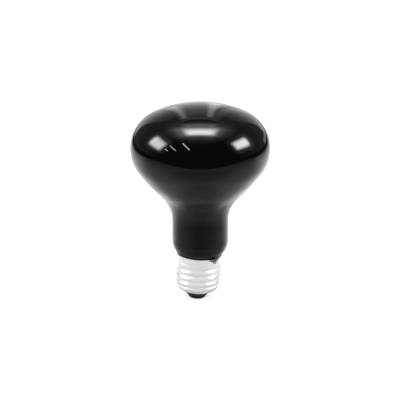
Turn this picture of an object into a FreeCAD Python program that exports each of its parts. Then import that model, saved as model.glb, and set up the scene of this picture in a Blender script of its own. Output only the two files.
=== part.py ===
import FreeCAD, Part
import math
import os
import Sketcher

# Reflector lamp of the R80 size: a black glass bulb on an E27 screw cap.
# Millimetres. The bulb's axis is +Z through the origin, and the cap's lowest point is at Z = 0.
# The cap was cemented on a little askew, so all its pieces share one leaning placement.

# Driving sizes, each written once: name, value, what it is
SIZES = [
    ("bulb_diameter", 80.0, "widest diameter of the glass"),
    ("crown_radius", 66.5, "radius of the domed crown"),
    ("shoulder_radius", 22.3, "radius of the shoulder between crown and flank"),
    ("flank_radius", 86.5, "radius of the bulging flank"),
    ("fillet_radius", 21.1, "radius of the hollow between flank and neck"),
    ("neck_diameter", 32.6, "diameter of the straight neck"),
    ("neck_end_radius", 11.0, "radius of the rounded end of the neck"),
    ("widest_rise", 63.05, "height of the widest place above the rim"),
    ("fillet_rise", 19.95, "height of the neck fillet's centre above the rim"),
    ("rim_gap", 0.53, "gap all round between the neck end and the rim, on a straight cap"),
    ("seal_gap", 1.6, "gap all round between the sealed end and the bore, on a straight cap"),
    ("seal_reach_below", 0.7, "reach of the sealed end below the cement"),
    ("seal_corner", 2.0, "corner radius of the sealed end"),
    ("tip_diameter", 4.4, "diameter of the exhaust tip"),
    ("tip_length", 5.0, "length of the exhaust tip"),
    ("cap_length", 27.0, "contact to rim, along the cap"),
    ("cap_lean", 3.13, "lean of the cap, degrees"),
    ("pivot_rise", 9.6, "height above the rim where the two axes cross"),
    ("thread_major", 26.2, "diameter over the thread crests"),
    ("thread_depth", 1.0, "depth of the groove, crest to root"),
    ("thread_pitch", 3.629, "rise of one turn"),
    ("thread_foot", 6.49, "height where the lowest groove has run out"),
    ("thread_drop", 5.994, "depth below the rim where the groove starts to fade"),
    ("crest_trim", 0.012, "height trimmed off the round of each crest"),
    ("fade_turns", 0.8, "turns over which the top groove fades out"),
    ("shell_wall", 0.3, "sheet thickness of the shell"),
    ("skirt_height", 2.9, "height of the plain skirt"),
    ("skirt_inset", 0.15, "step in from the crests to the skirt"),
    ("skirt_slope", 1.2, "height of the slope between the crests and the skirt"),
    ("bore_slope", 1.8, "height of the slope between the bore and the skirt"),
    ("rim_flare", 0.4, "how far the rim is turned out"),
    ("bowl_top", 10.4, "height where the round foot of the shell starts"),
    ("mouth_diameter", 14.4, "diameter of the hole in the shell's foot"),
    ("mouth_height", 4.3, "height of that hole's edge"),
    ("bulge_radius", 3.0, "radius of the insulator's bulge below the hole"),
    ("insulator_drop", 1.8, "depth of the insulator's top below the round foot's top"),
    ("wire_hole", 2.0, "diameter of the wire's way through the insulator"),
    ("contact_diameter", 10.4, "diameter of the contact plate"),
    ("contact_bevel", 0.7, "width of the contact's slanted edge"),
    ("contact_edge", 0.7, "height of the contact's slanted edge"),
    ("contact_wall", 0.4, "sheet thickness of the contact plate"),
    ("eyelet_diameter", 4.8, "diameter of the solder face in the contact"),
    ("solder_rise", 1.0, "length of the solder plug in the wire's way"),
    ("cement_depth", 7.8, "depth of the cement's lower face below the rim"),
    ("cement_drop", 1.0, "depth of the cement's upper face below the rim"),
    ("lead_diameter", 0.5, "diameter of the centre lead"),
    ("side_lead_diameter", 0.3, "diameter of the side lead"),
    ("lead_bend", 1.4, "bend radius of both leads"),
    ("lead_root", 1.0, "length of both leads above the cement's foot, inside the glass"),
    ("side_lead_start", 6.5, "distance from the cap's axis where the side lead leaves the glass"),
    ("side_lead_dip", 2.8, "drop of the side lead below the cement"),
    ("side_lead_end", 0.1, "reach of the side lead above the rim"),
    ("centre_lead_start", 4.5, "distance from the cap's axis where the centre lead leaves the glass"),
    ("centre_lead_dip", 3.7, "drop of the centre lead below the cement"),
    ("centre_lead_gather", 1.2, "height above the insulator where the centre lead meets the axis"),
    ("patch_angle", 41.0, "angle of the solder patch, from the front towards the right"),
    ("patch_width", 5.4, "width of the solder patch"),
    ("patch_height", 3.2, "height of the solder patch"),
    ("patch_proud", 0.55, "how far the patch stands proud of the rim"),
    ("patch_sink", 0.4, "how far the patch's middle lies inside the rim's outer edge"),
    ("patch_rise", 0.4, "reach of the patch above the rim"),
]

doc = FreeCAD.newDocument("black_light_bulb")
sheet = doc.addObject("Spreadsheet::Sheet", "Sizes")
for row, (alias, value, note) in enumerate(SIZES, start=1):
    sheet.set("A%d" % row, note)
    sheet.set("B%d" % row, repr(value))
    sheet.setAlias("B%d" % row, alias)
doc.recompute()


def size(alias):
    return float(sheet.get(alias))


def derive(alias, formula):
    # A dependent size is a formula in the sheet, so that it follows what it is made of
    derive.row += 1
    sheet.set("B%d" % derive.row, "=" + formula)
    sheet.setAlias("B%d" % derive.row, alias)
    doc.recompute()


derive.row = len(SIZES) + 1
derive("crest_reach", "thread_major / 2")
derive("root_reach", "crest_reach - thread_depth")
derive("bore_reach", "root_reach - shell_wall")
derive("skirt_reach", "crest_reach - skirt_inset")
derive("rim_reach", "skirt_reach + rim_flare")
derive("rim_inside", "rim_reach - shell_wall")
derive("skirt_foot", "cap_length - skirt_height")
derive("crest_top", "skirt_foot - skirt_slope")
derive("bore_top", "skirt_foot - bore_slope")
derive("cement_foot", "cap_length - cement_depth")
derive("cement_top", "cap_length - cement_drop")
derive("insulator_top", "bowl_top - insulator_drop")
derive("groove_depth", "thread_depth + crest_trim")
derive("knuckle_radius", "(thread_pitch ^ 2 / 4 + groove_depth ^ 2) / (4 * groove_depth)")
derive("thread_head", "cap_length - thread_drop")
derive("thread_turns", "(thread_head - thread_foot) / thread_pitch")
derive("contact_reach", "contact_diameter / 2")
derive("contact_land", "contact_reach - contact_bevel")
derive("cap_rise", "contact_land * sin(cap_lean * 1deg)")
derive("cap_shift", "-(cap_length + pivot_rise) * sin(cap_lean * 1deg)")
derive("rim_level", "cap_rise + (cap_length + pivot_rise) * cos(cap_lean * 1deg) - pivot_rise")
derive("bowl_drop", "bowl_top - mouth_height")
derive("bowl_step", "crest_reach - mouth_diameter / 2")
derive("bowl_radius", "(bowl_step ^ 2 + bowl_drop ^ 2) / (2 * bowl_step)")
derive("hollow_drop", "bowl_drop - shell_wall")
derive("hollow_step", "bore_reach - mouth_diameter / 2")
derive("hollow_radius", "(hollow_step ^ 2 + hollow_drop ^ 2) / (2 * hollow_step)")
derive("flare_radius", "(rim_flare ^ 2 + skirt_height ^ 2) / (2 * rim_flare)")
derive("contact_drop", "sqrt(bulge_radius ^ 2 - (contact_reach - mouth_diameter / 2 + bulge_radius) ^ 2)")
derive("contact_seat", "mouth_height - contact_drop")
derive("neck_reach", "neck_diameter / 2")
derive("neck_end_centre", "neck_reach - neck_end_radius")
derive("neck_end_rise", "sqrt(neck_end_radius ^ 2 - (rim_inside - rim_gap - neck_end_centre) ^ 2)")
derive("seal_reach", "bore_reach - seal_gap")
derive("seal_depth", "cement_depth + seal_reach_below")
derive("patch_shift", "sin(cap_lean * 1deg) * sin(patch_angle * 1deg)")
derive("patch_sag", "rim_inside * patch_shift")
derive("glass_at_patch", "neck_end_centre + sqrt(neck_end_radius ^ 2 - (neck_end_rise + patch_sag) ^ 2)")
derive("glass_at_rim", "glass_at_patch + pivot_rise * patch_shift")
derive("glass_at_seal", "seal_reach + (pivot_rise + cap_length - bore_top) * patch_shift")
derive("side_lead_reach", "(bore_reach + glass_at_seal) / 2")
derive("side_lead_top", "(rim_inside + glass_at_rim) / 2")

cap_place = FreeCAD.Placement(
    FreeCAD.Vector(size("cap_shift"), 0, size("cap_rise")),
    FreeCAD.Rotation(FreeCAD.Vector(0, 1, 0), size("cap_lean")),
)


def vec(x, y):
    return FreeCAD.Vector(x, y, 0)


def origin_plane(body, role):
    return [o for o in body.Origin.OriginFeatures if o.Role == role][0]


class Outline:
    # A closed outline in the X-Z plane: X is the distance from the axis, Y is the height.
    # Each run is a line or an arc, joined to the one before it.

    def __init__(self, body, name):
        self.sketch = body.newObject("Sketcher::SketchObject", name)
        self.sketch.AttachmentSupport = [(origin_plane(body, "XZ_Plane"), "")]
        self.sketch.MapMode = "FlatFace"
        self.runs = []

    def line(self, start, end):
        index = self.sketch.addGeometry(Part.LineSegment(vec(*start), vec(*end)), False)
        self.runs.append((index, 1, 2))
        return index

    def arc(self, centre, radius, start, end):
        # Angles in radians: a falling angle runs clockwise
        circle = Part.Circle(vec(*centre), FreeCAD.Vector(0, 0, 1), radius)
        if end > start:
            index = self.sketch.addGeometry(Part.ArcOfCircle(circle, start, end), False)
            self.runs.append((index, 1, 2))
        else:
            index = self.sketch.addGeometry(Part.ArcOfCircle(circle, end, start), False)
            self.runs.append((index, 2, 1))
        return index

    def add(self, kind, *args):
        return self.sketch.addConstraint(Sketcher.Constraint(kind, *args))

    def bind(self, number, formula):
        self.sketch.setExpression("Constraints[%d]" % number, formula)

    def join(self, smooth=()):
        # Ends meet all round, and the joints named in smooth are tangent too
        count = len(self.runs)
        for k in range(count):
            a = self.runs[k]
            b = self.runs[(k + 1) % count]
            kind = "Tangent" if k in smooth else "Coincident"
            self.add(kind, a[0], a[2], b[0], b[1])

    def point(self, run, which, x=None, y=None):
        # Ties the start (0), end (1) or centre (3) of a run to named sizes
        index = self.runs[run][0]
        if which == 3:
            spot = 3
        else:
            spot = self.runs[run][1 + which]
        geometry = self.sketch.Geometry[index]
        if which == 3:
            place = geometry.Center
        elif spot == 1:
            place = geometry.StartPoint
        else:
            place = geometry.EndPoint
        if x is not None:
            if x == "0":
                self.add("PointOnObject", index, spot, -2)
            else:
                self.bind(self.add("DistanceX", -1, 1, index, spot, place.x), x)
        if y is not None:
            if y == "0":
                self.add("PointOnObject", index, spot, -1)
            else:
                self.bind(self.add("DistanceY", -1, 1, index, spot, place.y), y)

    def radius(self, run, formula):
        index = self.runs[run][0]
        self.bind(self.add("Radius", index, self.sketch.Geometry[index].Radius), formula)


def turned(body, sketch, name):
    feature = body.newObject("PartDesign::Revolution", name)
    feature.Profile = sketch
    feature.ReferenceAxis = (sketch, ["V_Axis"])
    feature.Angle = 360
    return feature


def polygon(outline, corners):
    # corners: (x value, y value, x formula, y formula)
    count = len(corners)
    for k in range(count):
        a = corners[k]
        b = corners[(k + 1) % count]
        outline.line(a[:2], b[:2])
    outline.join()
    for k, corner in enumerate(corners):
        outline.point(k, 0, corner[2], corner[3])


def angle_of(point, centre):
    return math.atan2(point[1] - centre[1], point[0] - centre[0])


def stand_in_cap(body, turn=0.0):
    # Places a piece on the leaning cap, turned about the cap's own axis
    body.Placement = cap_place.multiply(
        FreeCAD.Placement(FreeCAD.Vector(0, 0, 0), FreeCAD.Rotation(FreeCAD.Vector(0, 0, 1), turn))
    )
    body.setExpression("Placement.Base.x", "Sizes.cap_shift")
    body.setExpression("Placement.Base.z", "Sizes.cap_rise")


def cut(base, tool, label):
    feature = doc.addObject("Part::Cut", label)
    feature.Base = base
    feature.Tool = tool
    feature.Label = label
    return feature


# Glass bulb: crown, shoulder, flank, neck fillet, neck, rounded end, sealed end and exhaust tip
rim = size("rim_level")
reach = size("bulb_diameter") / 2
crown = size("crown_radius")
shoulder = size("shoulder_radius")
flank = size("flank_radius")
fillet = size("fillet_radius")
neck = size("neck_diameter") / 2
round_end = size("neck_end_radius")
seal = size("seal_reach")
corner = size("seal_corner")
tip = size("tip_diameter") / 2

shoulder_centre = (reach - shoulder, rim + size("widest_rise"))
crown_centre = (0.0, shoulder_centre[1] - math.sqrt((crown - shoulder) ** 2 - shoulder_centre[0] ** 2))
fillet_centre = (neck + fillet, rim + size("fillet_rise"))
end_centre = (neck - round_end, rim + size("neck_end_rise"))
gap = math.dist(shoulder_centre, fillet_centre)
inner = flank - shoulder
outer = flank + fillet
along = (inner ** 2 - outer ** 2 + gap ** 2) / (2 * gap)
aside = math.sqrt(inner ** 2 - along ** 2)
unit = ((fillet_centre[0] - shoulder_centre[0]) / gap, (fillet_centre[1] - shoulder_centre[1]) / gap)
flank_centre = (
    shoulder_centre[0] + along * unit[0] + aside * unit[1],
    shoulder_centre[1] + along * unit[1] - aside * unit[0],
)
turn_top = angle_of(shoulder_centre, crown_centre)
turn_side = angle_of(shoulder_centre, flank_centre)
turn_neck = angle_of(fillet_centre, flank_centre)
seal_top = end_centre[1] - math.sqrt(round_end ** 2 - (seal - end_centre[0]) ** 2)
turn_seal = angle_of((seal, seal_top), end_centre)
seal_foot = rim - size("seal_depth")
tip_foot = seal_foot - size("tip_length")

glass = doc.addObject("PartDesign::Body", "glass_bulb")
glass.Label = "glass_bulb"
profile = Outline(glass, "glass_outline")
profile.arc(crown_centre, crown, math.pi / 2, turn_top)
profile.arc(shoulder_centre, shoulder, turn_top, turn_side)
profile.arc(flank_centre, flank, turn_side, turn_neck)
profile.arc(fillet_centre, fillet, turn_neck + math.pi, math.pi)
profile.line((neck, fillet_centre[1]), (neck, end_centre[1]))
profile.arc(end_centre, round_end, 0.0, turn_seal)
profile.line((seal, seal_top), (seal, seal_foot + corner))
profile.arc((seal - corner, seal_foot + corner), corner, 0.0, -math.pi / 2)
profile.line((seal - corner, seal_foot), (tip, seal_foot))
profile.line((tip, seal_foot), (tip, tip_foot + tip))
profile.arc((0.0, tip_foot + tip), tip, 0.0, -math.pi / 2)
profile.line((0.0, tip_foot), (0.0, crown_centre[1] + crown))
profile.join(smooth=(0, 1, 2, 3, 4, 6, 7, 9))
profile.point(0, 3, "0", None)
profile.point(0, 0, "0", None)
profile.radius(0, "Sizes.crown_radius")
profile.radius(1, "Sizes.shoulder_radius")
profile.point(1, 3, "Sizes.bulb_diameter / 2 - Sizes.shoulder_radius", "Sizes.rim_level + Sizes.widest_rise")
profile.radius(2, "Sizes.flank_radius")
profile.radius(3, "Sizes.fillet_radius")
profile.point(3, 3, None, "Sizes.rim_level + Sizes.fillet_rise")
profile.point(4, 0, "Sizes.neck_diameter / 2", None)
profile.radius(5, "Sizes.neck_end_radius")
profile.point(5, 3, None, "Sizes.rim_level + Sizes.neck_end_rise")
profile.point(6, 0, "Sizes.seal_reach", None)
profile.add("Vertical", profile.runs[4][0])
profile.add("Vertical", profile.runs[6][0])
profile.radius(7, "Sizes.seal_corner")
profile.add("Horizontal", profile.runs[8][0])
profile.point(8, 1, "Sizes.tip_diameter / 2", "Sizes.rim_level - Sizes.seal_depth")
profile.add("Vertical", profile.runs[9][0])
profile.radius(10, "Sizes.tip_diameter / 2")
profile.point(10, 1, "0", "Sizes.rim_level - Sizes.seal_depth - Sizes.tip_length")
glass_solid = turned(glass, profile.sketch, "glass_turned")


# Screw shell: the outline has the round foot, the crest cylinder, the plain skirt and the turned-out rim
crest = size("crest_reach")
bore = size("bore_reach")
mouth = size("mouth_diameter") / 2
mouth_low = size("mouth_height")
wall = size("shell_wall")
bowl_top = size("bowl_top")
bowl = size("bowl_radius")
hollow = size("hollow_radius")
skirt = size("skirt_reach")
skirt_foot = size("skirt_foot")
flare = size("flare_radius")
cap_top = size("cap_length")
bore_top = size("bore_top")


def outer_runs(outline):
    # From the mouth's edge round the foot, up the crests and out along the skirt to the rim
    centre = (crest - bowl, bowl_top)
    outline.arc(centre, bowl, angle_of((mouth, mouth_low), centre), 0.0)
    outline.line((crest, bowl_top), (crest, size("crest_top")))
    outline.line((crest, size("crest_top")), (skirt, skirt_foot))
    centre = (skirt + flare, skirt_foot)
    edge = (size("rim_reach"), cap_top)
    outline.arc(centre, flare, math.pi, angle_of(edge, centre))


def bind_outer(outline):
    outline.radius(0, "Sizes.bowl_radius")
    outline.point(0, 0, "Sizes.mouth_diameter / 2", "Sizes.mouth_height")
    outline.point(1, 0, "Sizes.crest_reach", "Sizes.bowl_top")
    outline.point(2, 0, "Sizes.crest_reach", "Sizes.crest_top")
    outline.point(3, 0, "Sizes.skirt_reach", "Sizes.skirt_foot")
    outline.radius(3, "Sizes.flare_radius")
    outline.point(3, 1, "Sizes.rim_reach", "Sizes.cap_length")


def flare_inside(level):
    # The skirt's inner face at a level, on an arc about the same centre as its outer face
    return skirt + flare - math.sqrt((flare + wall) ** 2 - (level - skirt_foot) ** 2)


shell = doc.addObject("PartDesign::Body", "screw_shell")
shell.Label = "screw_shell"
section = Outline(shell, "shell_outline")
outer_runs(section)
rim_inside = flare_inside(cap_top)
section.line((size("rim_reach"), cap_top), (rim_inside, cap_top))
inside_centre = (skirt + flare, skirt_foot)
section.arc(inside_centre, flare + wall, angle_of((rim_inside, cap_top), inside_centre), math.pi)
section.line((skirt - wall, skirt_foot), (bore, bore_top))
section.line((bore, bore_top), (bore, bowl_top))
hollow_centre = (bore - hollow, bowl_top)
section.arc(hollow_centre, hollow, 0.0, angle_of((mouth, mouth_low + wall), hollow_centre))
section.line((mouth, mouth_low + wall), (mouth, mouth_low))
section.join()
bind_outer(section)
section.point(5, 0, None, "Sizes.cap_length")
section.point(5, 3, "Sizes.skirt_reach + Sizes.flare_radius", "Sizes.skirt_foot")
section.radius(5, "Sizes.flare_radius + Sizes.shell_wall")
section.point(6, 0, None, "Sizes.skirt_foot")
section.point(7, 0, "Sizes.bore_reach", "Sizes.bore_top")
section.point(8, 0, "Sizes.bore_reach", "Sizes.bowl_top")
section.radius(8, "Sizes.hollow_radius")
section.point(9, 0, "Sizes.mouth_diameter / 2", "Sizes.mouth_height + Sizes.shell_wall")
blank = turned(shell, section.sketch, "shell_blank")
doc.recompute()


# The rolled thread: each groove is a round hollow between two round crests, all of one knuckle radius
def groove_outline(name, level, formula):
    pitch = size("thread_pitch")
    knuckle = size("knuckle_radius")
    crest_x = crest + size("crest_trim") - knuckle
    root_x = size("root_reach") + knuckle
    side = (root_x - crest_x) / 2
    lower = (crest_x, level - pitch / 2)
    upper = (crest_x, level + pitch / 2)
    start = math.atan2(math.sqrt(knuckle ** 2 - (crest - crest_x) ** 2), crest - crest_x)
    half_land = knuckle * math.sin(start)
    groove = Outline(shell, name)
    groove.arc(lower, knuckle, start, math.atan2(pitch / 4, side))
    groove.arc(
        (root_x, level), knuckle, math.atan2(-pitch / 4, -side) + 2 * math.pi, math.atan2(pitch / 4, -side)
    )
    groove.arc(upper, knuckle, math.atan2(-pitch / 4, side), -start)
    groove.line((crest, upper[1] - half_land), (crest + 1, upper[1] - half_land))
    groove.line((crest + 1, upper[1] - half_land), (crest + 1, lower[1] + half_land))
    groove.line((crest + 1, lower[1] + half_land), (crest, lower[1] + half_land))
    groove.join(smooth=(0, 1))
    centre_x = "Sizes.crest_reach + Sizes.crest_trim - Sizes.knuckle_radius"
    groove.radius(0, "Sizes.knuckle_radius")
    groove.point(0, 3, centre_x, formula + " - Sizes.thread_pitch / 2")
    groove.radius(1, "Sizes.knuckle_radius")
    groove.point(1, 3, None, formula)
    groove.radius(2, "Sizes.knuckle_radius")
    groove.point(2, 3, centre_x, None)
    groove.point(0, 0, "Sizes.crest_reach", None)
    groove.point(3, 0, "Sizes.crest_reach", None)
    groove.add("Horizontal", groove.runs[3][0])
    groove.add("Vertical", groove.runs[4][0])
    groove.point(4, 0, "Sizes.crest_reach + 1", None)
    groove.add("Horizontal", groove.runs[5][0])
    return groove


groove = groove_outline("groove_outline", size("thread_foot"), "Sizes.thread_foot")
doc.recompute()
thread = shell.newObject("PartDesign::SubtractiveHelix", "thread_groove")
thread.Profile = groove.sketch
thread.ReferenceAxis = (groove.sketch, ["V_Axis"])
thread.Mode = "pitch-turns-angle"
thread.HasBeenEdited = True
thread.setExpression("Pitch", "Sizes.thread_pitch")
thread.setExpression("Turns", "Sizes.thread_turns")
thread.LeftHanded = False
thread.Reversed = False
doc.recompute()
fade = groove_outline("fade_outline", size("thread_head"), "Sizes.thread_head")
run_out = shell.newObject("PartDesign::SubtractiveHelix", "groove_run_out")
run_out.Profile = fade.sketch
run_out.ReferenceAxis = (fade.sketch, ["V_Axis"])
run_out.Mode = "height-turns-growth"
run_out.HasBeenEdited = True
run_out.setExpression("Height", "Sizes.thread_pitch * Sizes.fade_turns")
run_out.setExpression("Turns", "Sizes.fade_turns")
run_out.setExpression("Growth", "(Sizes.groove_depth + 0.05) / Sizes.fade_turns")
run_out.LeftHanded = False
doc.recompute()
stand_in_cap(shell)
doc.recompute()


# Basing cement: fills the room between the shell and the sealed end of the glass
def solid_in_skirt(body, name, foot, foot_formula, head, head_formula):
    outline = Outline(body, name)
    head_x = flare_inside(head)
    outline.line((0.0, foot), (bore, foot))
    outline.line((bore, foot), (bore, bore_top))
    outline.line((bore, bore_top), (skirt - wall, skirt_foot))
    outline.arc(inside_centre, flare + wall, math.pi, angle_of((head_x, head), inside_centre))
    outline.line((head_x, head), (0.0, head))
    outline.line((0.0, head), (0.0, foot))
    outline.join()
    outline.point(0, 0, "0", foot_formula)
    outline.point(1, 0, "Sizes.bore_reach", foot_formula)
    outline.point(2, 0, "Sizes.bore_reach", "Sizes.bore_top")
    outline.point(3, 0, None, "Sizes.skirt_foot")
    outline.point(3, 3, "Sizes.skirt_reach + Sizes.flare_radius", "Sizes.skirt_foot")
    outline.radius(3, "Sizes.flare_radius + Sizes.shell_wall")
    outline.point(4, 0, None, head_formula)
    outline.point(5, 0, "0", head_formula)
    return outline


cement = doc.addObject("PartDesign::Body", "cement_filling")
cement_top = size("cement_top")
filling = solid_in_skirt(
    cement,
    "cement_outline",
    size("cement_foot"),
    "Sizes.cement_foot",
    cement_top,
    "Sizes.cement_top",
)
turned(cement, filling.sketch, "cement_turned")
stand_in_cap(cement)
doc.recompute()


# Insulator: black glass that fills the foot of the shell and bulges out of its mouth
bulge = size("bulge_radius")
contact = size("contact_reach")
contact_wall = size("contact_wall")
seat = size("contact_seat")
land = size("contact_land")
edge_rise = size("contact_edge")
wire_way = size("wire_hole") / 2
glass_top = size("insulator_top")
top_x = hollow_centre[0] + math.sqrt(hollow ** 2 - (bowl_top - glass_top) ** 2)
bulge_centre = (mouth - bulge, mouth_low)

insulator = doc.addObject("PartDesign::Body", "insulator")
insulator.Label = "insulator"
ring = Outline(insulator, "insulator_outline")
ring.line((wire_way, glass_top), (top_x, glass_top))
ring.arc(
    hollow_centre,
    hollow,
    angle_of((top_x, glass_top), hollow_centre),
    angle_of((mouth, mouth_low + wall), hollow_centre),
)
ring.line((mouth, mouth_low + wall), (mouth, mouth_low))
ring.arc(bulge_centre, bulge, 0.0, angle_of((contact, seat), bulge_centre))
ring.line((contact, seat), (contact - contact_wall, seat))
ring.line((contact - contact_wall, seat), (contact - contact_wall, edge_rise))
ring.line((contact - contact_wall, edge_rise), (land - contact_wall / 2, contact_wall))
ring.line((land - contact_wall / 2, contact_wall), (wire_way, contact_wall))
ring.line((wire_way, contact_wall), (wire_way, glass_top))
ring.join()
ring.point(0, 0, "Sizes.wire_hole / 2", "Sizes.insulator_top")
ring.point(1, 0, None, "Sizes.insulator_top")
ring.point(1, 3, "Sizes.bore_reach - Sizes.hollow_radius", "Sizes.bowl_top")
ring.radius(1, "Sizes.hollow_radius")
ring.point(2, 0, "Sizes.mouth_diameter / 2", None)
ring.point(3, 0, "Sizes.mouth_diameter / 2", "Sizes.mouth_height")
ring.point(3, 3, None, "Sizes.mouth_height")
ring.radius(3, "Sizes.bulge_radius")
ring.point(4, 0, "Sizes.contact_reach", None)
ring.point(5, 0, "Sizes.contact_reach - Sizes.contact_wall", "Sizes.contact_seat")
ring.point(6, 0, "Sizes.contact_reach - Sizes.contact_wall", "Sizes.contact_edge")
ring.point(7, 0, "Sizes.contact_land - Sizes.contact_wall / 2", "Sizes.contact_wall")
ring.point(8, 0, "Sizes.wire_hole / 2", "Sizes.contact_wall")
turned(insulator, ring.sketch, "insulator_turned")
stand_in_cap(insulator)
doc.recompute()


# Centre contact: a pressed dish with a flat face and an eyelet
eyelet = size("eyelet_diameter") / 2
plate = doc.addObject("PartDesign::Body", "centre_contact")
plate.Label = "centre_contact"
dish = Outline(plate, "contact_outline")
polygon(
    dish,
    [
        (eyelet, 0.0, "Sizes.eyelet_diameter / 2", "0"),
        (land, 0.0, "Sizes.contact_land", "0"),
        (contact, edge_rise, "Sizes.contact_reach", "Sizes.contact_edge"),
        (contact, seat, "Sizes.contact_reach", "Sizes.contact_seat"),
        (contact - contact_wall, seat, "Sizes.contact_reach - Sizes.contact_wall", "Sizes.contact_seat"),
        (
            contact - contact_wall,
            edge_rise,
            "Sizes.contact_reach - Sizes.contact_wall",
            "Sizes.contact_edge",
        ),
        (
            land - contact_wall / 2,
            contact_wall,
            "Sizes.contact_land - Sizes.contact_wall / 2",
            "Sizes.contact_wall",
        ),
        (eyelet, contact_wall, "Sizes.eyelet_diameter / 2", "Sizes.contact_wall"),
    ],
)
turned(plate, dish.sketch, "contact_turned")
stand_in_cap(plate)

# Centre solder: fills the eyelet, flush with the flat face, and plugs the wire's way
plug_top = contact_wall + size("solder_rise")
solder = doc.addObject("PartDesign::Body", "centre_solder")
solder.Label = "centre_solder"
plug = Outline(solder, "solder_outline")
polygon(
    plug,
    [
        (0.0, 0.0, "0", "0"),
        (eyelet, 0.0, "Sizes.eyelet_diameter / 2", "0"),
        (eyelet, contact_wall, "Sizes.eyelet_diameter / 2", "Sizes.contact_wall"),
        (wire_way, contact_wall, "Sizes.wire_hole / 2", "Sizes.contact_wall"),
        (wire_way, plug_top, "Sizes.wire_hole / 2", "Sizes.contact_wall + Sizes.solder_rise"),
        (0.0, plug_top, "0", "Sizes.contact_wall + Sizes.solder_rise"),
    ],
)
turned(solder, plug.sketch, "solder_turned")
stand_in_cap(solder)
doc.recompute()


# Leads: a wire of straight runs joined by arcs, in the plane of its own body
def lead(label, route, diameter, turn):
    # route: (distance from the cap's axis, height, formula, formula), the first run vertical
    body = doc.addObject("PartDesign::Body", label + "_wire")
    path = body.newObject("Sketcher::SketchObject", label + "_path")
    path.AttachmentSupport = [(origin_plane(body, "XZ_Plane"), "")]
    path.MapMode = "FlatFace"
    bend = size("lead_bend")
    runs = []
    lefts = []
    start = FreeCAD.Vector(route[0][0], route[0][1], 0)
    for k in range(1, len(route)):
        here = FreeCAD.Vector(route[k][0], route[k][1], 0)
        if k < len(route) - 1:
            before = (here - FreeCAD.Vector(route[k - 1][0], route[k - 1][1], 0)).normalize()
            after = (FreeCAD.Vector(route[k + 1][0], route[k + 1][1], 0) - here).normalize()
            turning = before.getAngle(after)
            back = bend * math.tan(turning / 2)
            enter = here - before * back
            leave = here + after * back
            runs.append(path.addGeometry(Part.LineSegment(start, enter), False))
            middle = (after - before).normalize()
            centre = here + middle * (bend / math.cos(turning / 2))
            circle = Part.Circle(centre, FreeCAD.Vector(0, 0, 1), bend)
            first = math.atan2(enter.y - centre.y, enter.x - centre.x)
            last = math.atan2(leave.y - centre.y, leave.x - centre.x)
            leftward = before.cross(after).z > 0
            if not leftward:
                first, last = last, first
            if last < first:
                last += 2 * math.pi
            runs.append(path.addGeometry(Part.ArcOfCircle(circle, first, last), False))
            lefts.append(leftward)
            start = leave
        else:
            runs.append(path.addGeometry(Part.LineSegment(start, here), False))
    # The corners of the route are construction points that the straight runs pass through
    for k in range(1, len(runs), 2):
        if lefts[k // 2]:
            first, last = 1, 2
        else:
            first, last = 2, 1
        path.addConstraint(Sketcher.Constraint("Tangent", runs[k - 1], 2, runs[k], first))
        path.addConstraint(Sketcher.Constraint("Tangent", runs[k], last, runs[k + 1], 1))
        number = path.addConstraint(Sketcher.Constraint("Radius", runs[k], bend))
        path.setExpression("Constraints[%d]" % number, "Sizes.lead_bend")
    for k, (x, y, fx, fy) in enumerate(route):
        if k == 0:
            index, spot = runs[0], 1
        elif k == len(route) - 1:
            index, spot = runs[-1], 2
        else:
            index = path.addGeometry(Part.Point(FreeCAD.Vector(x, y, 0)), True)
            spot = 1
            path.addConstraint(Sketcher.Constraint("PointOnObject", index, 1, runs[2 * k - 2]))
            path.addConstraint(Sketcher.Constraint("PointOnObject", index, 1, runs[2 * k]))
        if fx == "0":
            path.addConstraint(Sketcher.Constraint("PointOnObject", index, spot, -2))
        else:
            number = path.addConstraint(Sketcher.Constraint("DistanceX", -1, 1, index, spot, x))
            path.setExpression("Constraints[%d]" % number, fx)
        number = path.addConstraint(Sketcher.Constraint("DistanceY", -1, 1, index, spot, y))
        path.setExpression("Constraints[%d]" % number, fy)
    ring = body.newObject("Sketcher::SketchObject", label + "_section")
    ring.AttachmentSupport = [(origin_plane(body, "XY_Plane"), "")]
    ring.MapMode = "FlatFace"
    ring.AttachmentOffset = FreeCAD.Placement(
        FreeCAD.Vector(0, 0, route[0][1]), FreeCAD.Rotation(FreeCAD.Vector(0, 0, 1), 0)
    )
    ring.setExpression("AttachmentOffset.Base.z", route[0][3])
    circle = Part.Circle(FreeCAD.Vector(route[0][0], 0, 0), FreeCAD.Vector(0, 0, 1), size(diameter) / 2)
    index = ring.addGeometry(circle, False)
    ring.addConstraint(Sketcher.Constraint("PointOnObject", index, 3, -1))
    number = ring.addConstraint(Sketcher.Constraint("DistanceX", -1, 1, index, 3, route[0][0]))
    ring.setExpression("Constraints[%d]" % number, route[0][2])
    number = ring.addConstraint(Sketcher.Constraint("Diameter", index, size(diameter)))
    ring.setExpression("Constraints[%d]" % number, "Sizes." + diameter)
    doc.recompute()
    pipe = body.newObject("PartDesign::AdditivePipe", label + "_drawn")
    pipe.Profile = ring
    pipe.Spine = (path, ["Edge%d" % (k + 1) for k in range(len(runs))])
    stand_in_cap(body, turn)
    doc.recompute()
    return body


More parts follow.
